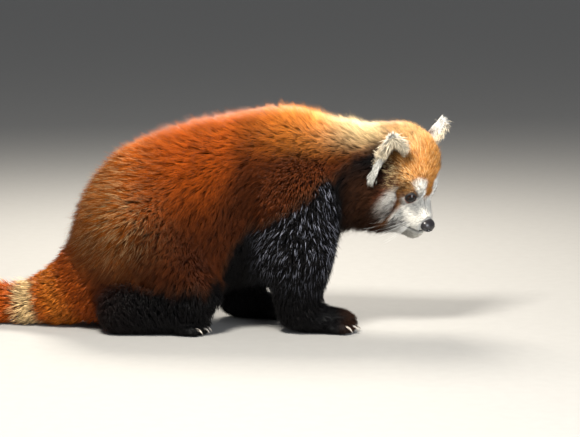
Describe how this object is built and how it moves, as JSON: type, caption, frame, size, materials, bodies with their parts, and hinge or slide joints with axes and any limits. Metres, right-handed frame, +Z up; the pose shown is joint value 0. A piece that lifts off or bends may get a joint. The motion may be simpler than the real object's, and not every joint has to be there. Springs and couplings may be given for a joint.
{
  "type": "red panda model",
  "caption": "Still life-size red panda sitting low on its haunches with flat feet, head turned and lowered, ringed tail laid out behind.",
  "frame": {"origin": "on the floor under the middle of the animal's outline", "axes": "+X towards the animal's front, +Y to its left, +Z up"},
  "size_m": [0.8396, 0.3294, 0.2817],
  "materials": {
    "coat_rust": "dense rusty red fur over the back, flanks, neck and thighs",
    "coat_face": "short tan fur with white cheeks, muzzle and brows",
    "coat_white": "cream fur fringing the ears",
    "coat_black": "glossy brown-black fur on the legs and feet",
    "coat_ringed": "thick fur in rusty and buff rings",
    "eye": "wet dark brown eyeball",
    "nose_skin": "moist black nose leather",
    "claw_horn": "pale grey horn"
  },
  "bodies": {
    "root": {"torso": "coat_rust", "neck": "coat_rust", "thigh_right": "coat_rust", "thigh_left": "coat_rust", "head": "coat_face", "ear_right": "coat_white", "ear_left": "coat_white", "foreleg_right": "coat_black", "foreleg_left": "coat_black", "forepaw_right": "coat_black", "forepaw_left": "coat_black", "hindfoot_right": "coat_black", "hindfoot_left": "coat_black", "tail_1": "coat_ringed", "tail_2": "coat_ringed", "tail_3": "coat_ringed", "eye_right": "eye", "eye_left": "eye", "nose": "nose_skin", "claw_forepaw_right_1": "claw_horn", "claw_forepaw_right_2": "claw_horn", "claw_forepaw_right_3": "claw_horn", "claw_forepaw_right_4": "claw_horn", "claw_forepaw_right_5": "claw_horn", "claw_forepaw_left_1": "claw_horn", "claw_forepaw_left_2": "claw_horn", "claw_forepaw_left_3": "claw_horn", "claw_forepaw_left_4": "claw_horn", "claw_forepaw_left_5": "claw_horn", "claw_hindfoot_right_1": "claw_horn", "claw_hindfoot_right_2": "claw_horn", "claw_hindfoot_right_3": "claw_horn", "claw_hindfoot_right_4": "claw_horn", "claw_hindfoot_right_5": "claw_horn", "claw_hindfoot_left_1": "claw_horn", "claw_hindfoot_left_2": "claw_horn", "claw_hindfoot_left_3": "claw_horn", "claw_hindfoot_left_4": "claw_horn", "claw_hindfoot_left_5": "claw_horn"}
  },
  "joints": []
}
